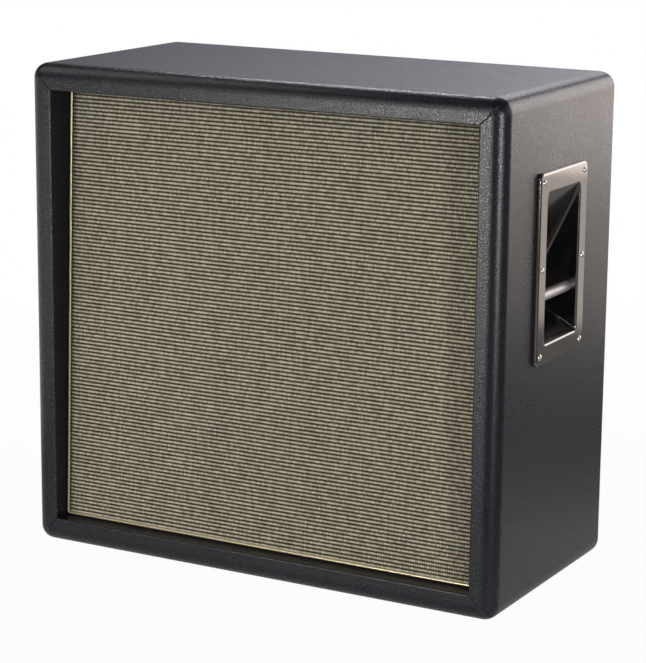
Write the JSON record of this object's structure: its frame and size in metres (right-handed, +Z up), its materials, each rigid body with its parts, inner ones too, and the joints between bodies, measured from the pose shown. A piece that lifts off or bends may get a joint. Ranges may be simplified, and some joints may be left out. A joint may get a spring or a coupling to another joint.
{
  "type": "guitar speaker cabinet",
  "caption": "Straight closed-back guitar speaker cabinet in pebbled black vinyl, with a leaning ribbed-cloth grille edged in piping, cup handles with steel bars, and a rear jack dish.",
  "frame": {"origin": "on the floor under the middle of the cabinet's box", "axes": "+X to the right seen from the front, +Y to the back, +Z up"},
  "size_m": [0.7822, 0.389, 0.737],
  "materials": {
    "plywood": "sanded birch plywood",
    "timber": "planed softwood",
    "vinyl": "black pebble-grain vinyl",
    "grille_fabric": "woven with horizontal ribs",
    "piping": "satin gold bead",
    "handle_plastic": "satin black moulding",
    "dish_plastic": "black moulding",
    "bar_steel": "brushed along its length",
    "nickel": "nickel plate",
    "zinc": "zinc plate",
    "black_screw": "black oxide",
    "foot_rubber": "moulded rubber",
    "basket_enamel": "dark enamel",
    "magnet_ferrite": "ground ferrite",
    "cone_paper": "pressed paper pulp",
    "gasket_paper": "pressed fibre",
    "spider_cloth": "treated cotton",
    "coil_copper": "enamelled winding",
    "lead_sleeve": "soft sleeve"
  },
  "bodies": {
    "cabinet": {"top_panel": "plywood", "bottom_panel": "plywood", "left_side_panel": "plywood", "right_side_panel": "plywood", "front_rails": "timber", "shell_covering": "vinyl", "baffle_board": "plywood", "baffle_screws": "zinc", "centre_brace": "timber", "grille_frame": "timber", "grille_cloth": "grille_fabric", "grille_piping": "piping", "grille_screws": "zinc", "back_battens": "timber", "back_panel": "plywood", "back_covering": "vinyl", "back_cup_washers": "nickel", "back_panel_screws": "zinc", "left_handle_dish": "handle_plastic", "right_handle_dish": "handle_plastic", "left_handle_bar": "bar_steel", "right_handle_bar": "bar_steel", "handle_screws": "nickel", "jack_dish": "dish_plastic", "jack_dish_screws": "black_screw", "jack_socket": "dish_plastic", "jack_washer": "nickel", "jack_nut": "nickel", "rubber_feet": "foot_rubber", "foot_screws": "zinc", "driver_gaskets": "gasket_paper", "driver_top_plates": "zinc", "driver_magnets": "magnet_ferrite", "driver_pole_yokes": "zinc", "driver_spiders": "spider_cloth", "driver_bolts": "zinc", "driver_tee_nuts": "zinc", "driver_terminals": "dish_plastic", "speaker_leads": "lead_sleeve", "lead_clips": "dish_plastic", "upper_left_basket": "basket_enamel", "upper_left_cone_edge": "cone_paper", "upper_right_basket": "basket_enamel", "upper_right_cone_edge": "cone_paper", "lower_left_basket": "basket_enamel", "lower_left_cone_edge": "cone_paper", "lower_right_basket": "basket_enamel", "lower_right_cone_edge": "cone_paper"},
    "upper_left_cone_body": {"upper_left_cone": "cone_paper", "upper_left_dust_cap": "cone_paper", "upper_left_voice_coil": "coil_copper"},
    "upper_right_cone_body": {"upper_right_cone": "cone_paper", "upper_right_dust_cap": "cone_paper", "upper_right_voice_coil": "coil_copper"},
    "lower_left_cone_body": {"lower_left_cone": "cone_paper", "lower_left_dust_cap": "cone_paper", "lower_left_voice_coil": "coil_copper"},
    "lower_right_cone_body": {"lower_right_cone": "cone_paper", "lower_right_dust_cap": "cone_paper", "lower_right_voice_coil": "coil_copper"}
  },
  "joints": [
    {"name": "upper_left_cone_travel", "type": "slide", "parent": "cabinet", "child": "upper_left_cone_body", "axis": [0, 0.9993, -0.037], "range_m": [-0.0025, 0.0025], "stiffness_N_per_m": 4000, "deforming": ["upper_left_cone_edge", "driver_spiders"]},
    {"name": "upper_right_cone_travel", "type": "slide", "parent": "cabinet", "child": "upper_right_cone_body", "axis": [0, 0.9993, -0.037], "range_m": [-0.0025, 0.0025], "stiffness_N_per_m": 4000, "deforming": ["upper_right_cone_edge", "driver_spiders"]},
    {"name": "lower_left_cone_travel", "type": "slide", "parent": "cabinet", "child": "lower_left_cone_body", "axis": [0, 0.9993, -0.037], "range_m": [-0.0025, 0.0025], "stiffness_N_per_m": 4000, "deforming": ["lower_left_cone_edge", "driver_spiders"]},
    {"name": "lower_right_cone_travel", "type": "slide", "parent": "cabinet", "child": "lower_right_cone_body", "axis": [0, 0.9993, -0.037], "range_m": [-0.0025, 0.0025], "stiffness_N_per_m": 4000, "deforming": ["lower_right_cone_edge", "driver_spiders"]}
  ]
}
